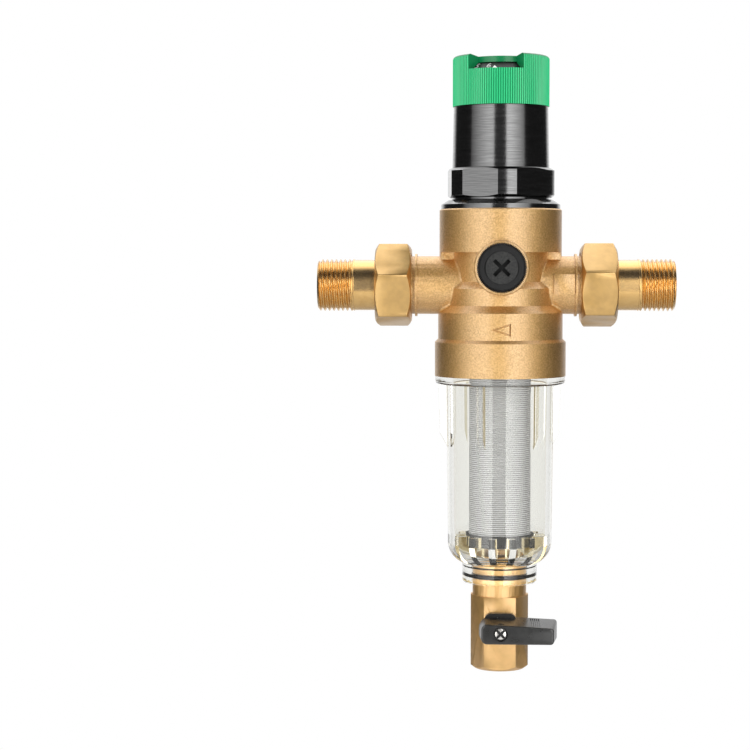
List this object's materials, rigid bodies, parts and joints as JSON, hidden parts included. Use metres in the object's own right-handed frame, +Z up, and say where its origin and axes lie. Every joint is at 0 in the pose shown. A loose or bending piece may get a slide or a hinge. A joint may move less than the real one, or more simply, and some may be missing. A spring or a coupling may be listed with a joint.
{
  "type": "water filter and pressure regulator",
  "caption": "Upright water pressure regulator with knob and spring bonnet over a brass body with two union ends, and a clear sieve bowl with a drain ball valve below.",
  "frame": {"origin": "where the horizontal pipe axis crosses the vertical axis of housing, bonnet and bowl", "axes": "+Z up through the bonnet to the knob, +X along the pipe axis out of the inlet union, -Y to the front, where the drain lever and the window of the knob are"},
  "size_m": [0.1434, 0.06, 0.247],
  "materials": {
    "cast_brass": "matt sand cast",
    "turned_brass": "turned, satin",
    "black_plastic": "fine moulded texture",
    "green_plastic": "satin",
    "dial_black": "matt with white figures",
    "plug_grey": "matt",
    "lever_grey": "satin",
    "sieve_grey": "matt",
    "steel": "satin",
    "ball_chrome": "polished",
    "black_rubber": "matt",
    "slip_white": "smooth",
    "clear_plastic": "clear, moulded"
  },
  "bodies": {
    "housing": {"housing": "cast_brass", "spring_bonnet": "black_plastic", "scale_ring": "dial_black", "thrust_washer": "steel", "slip_ring": "slip_white", "diaphragm": "black_rubber", "valve_insert": "black_plastic", "insert_o_ring_upper": "black_rubber", "insert_o_ring_lower": "black_rubber", "gauge_plug_front": "plug_grey", "gauge_seal_front": "black_rubber", "gauge_plug_back": "plug_grey", "gauge_seal_back": "black_rubber"},
    "knob": {"adjusting_knob": "green_plastic", "knob_screw": "steel", "adjusting_spindle": "turned_brass"},
    "plate": {"spring_plate": "steel", "set_spring": "steel"},
    "valve": {"diaphragm_plate": "steel", "valve_stem": "turned_brass", "stem_nut": "turned_brass", "disc_holder": "turned_brass", "valve_disc": "black_rubber", "disc_nut": "turned_brass"},
    "inlet_tail": {"inlet_tailpiece": "turned_brass", "inlet_gasket": "black_rubber"},
    "inlet_nut": {"inlet_union_nut": "turned_brass"},
    "outlet_tail": {"outlet_tailpiece": "turned_brass", "outlet_gasket": "black_rubber"},
    "outlet_nut": {"outlet_union_nut": "turned_brass"},
    "sieve": {"sieve_top_ring": "sieve_grey", "sieve_mesh": "steel", "sieve_cage": "sieve_grey", "sieve_bottom_ring": "sieve_grey"},
    "bowl": {"filter_bowl": "clear_plastic", "bowl_o_ring": "black_rubber", "drain_valve_body": "turned_brass", "neck_slip_ring": "slip_white", "neck_o_ring": "black_rubber", "ball_seat_upper": "slip_white", "ball_seat_lower": "slip_white", "seat_retainer": "turned_brass"},
    "lever": {"drain_lever": "lever_grey", "lever_screw": "steel", "ball_stem": "steel", "ball_stem_o_ring": "black_rubber", "valve_ball": "ball_chrome"}
  },
  "joints": [
    {"name": "knob_turn", "type": "hinge", "parent": "housing", "child": "knob", "pos_m": [0, 0, 0.0735], "axis": [0, 0, -1], "range_deg": [-100, 200]},
    {"name": "plate_slide", "type": "slide", "parent": "housing", "child": "plate", "axis": [0, 0, -1], "range_m": [-0.00266, 0.00533], "deforming": ["set_spring"]},
    {"name": "valve_slide", "type": "slide", "parent": "housing", "child": "valve", "axis": [0, 0, 1], "range_m": [0, 0.0029], "stiffness_N_per_m": 2000, "springref_m": -0.004, "deforming": ["diaphragm"]},
    {"name": "inlet_tail_slide", "type": "slide", "parent": "housing", "child": "inlet_tail", "axis": [1, 0, 0], "range_m": [0, 0.00725]},
    {"name": "inlet_nut_turn", "type": "hinge", "parent": "inlet_tail", "child": "inlet_nut", "pos_m": [0.0393, 0, 0], "axis": [1, 0, 0], "range_deg": [0, 1440]},
    {"name": "outlet_tail_slide", "type": "slide", "parent": "housing", "child": "outlet_tail", "axis": [-1, 0, 0], "range_m": [0, 0.00725]},
    {"name": "outlet_nut_turn", "type": "hinge", "parent": "outlet_tail", "child": "outlet_nut", "pos_m": [-0.0431, 0, 0], "axis": [-1, 0, 0], "range_deg": [0, 1440]},
    {"name": "sieve_slide", "type": "slide", "parent": "housing", "child": "sieve", "axis": [0, 0, -1], "range_m": [0, 0.01199]},
    {"name": "bowl_turn", "type": "hinge", "parent": "sieve", "child": "bowl", "pos_m": [0, 0, -0.03], "axis": [0, 0, -1], "range_deg": [0, 1440]},
    {"name": "lever_turn", "type": "hinge", "parent": "bowl", "child": "lever", "pos_m": [0, 0, -0.137], "axis": [0, 1, 0], "range_deg": [0, 90]}
  ],
  "couplings": [
    {"joint": "knob_turn", "follows": "plate_slide", "rad_per_m": 654.5},
    {"joint": "inlet_nut_turn", "follows": "inlet_tail_slide", "rad_per_m": 3463.7},
    {"joint": "outlet_nut_turn", "follows": "outlet_tail_slide", "rad_per_m": 3463.7},
    {"joint": "bowl_turn", "follows": "sieve_slide", "rad_per_m": 2094.4}
  ]
}
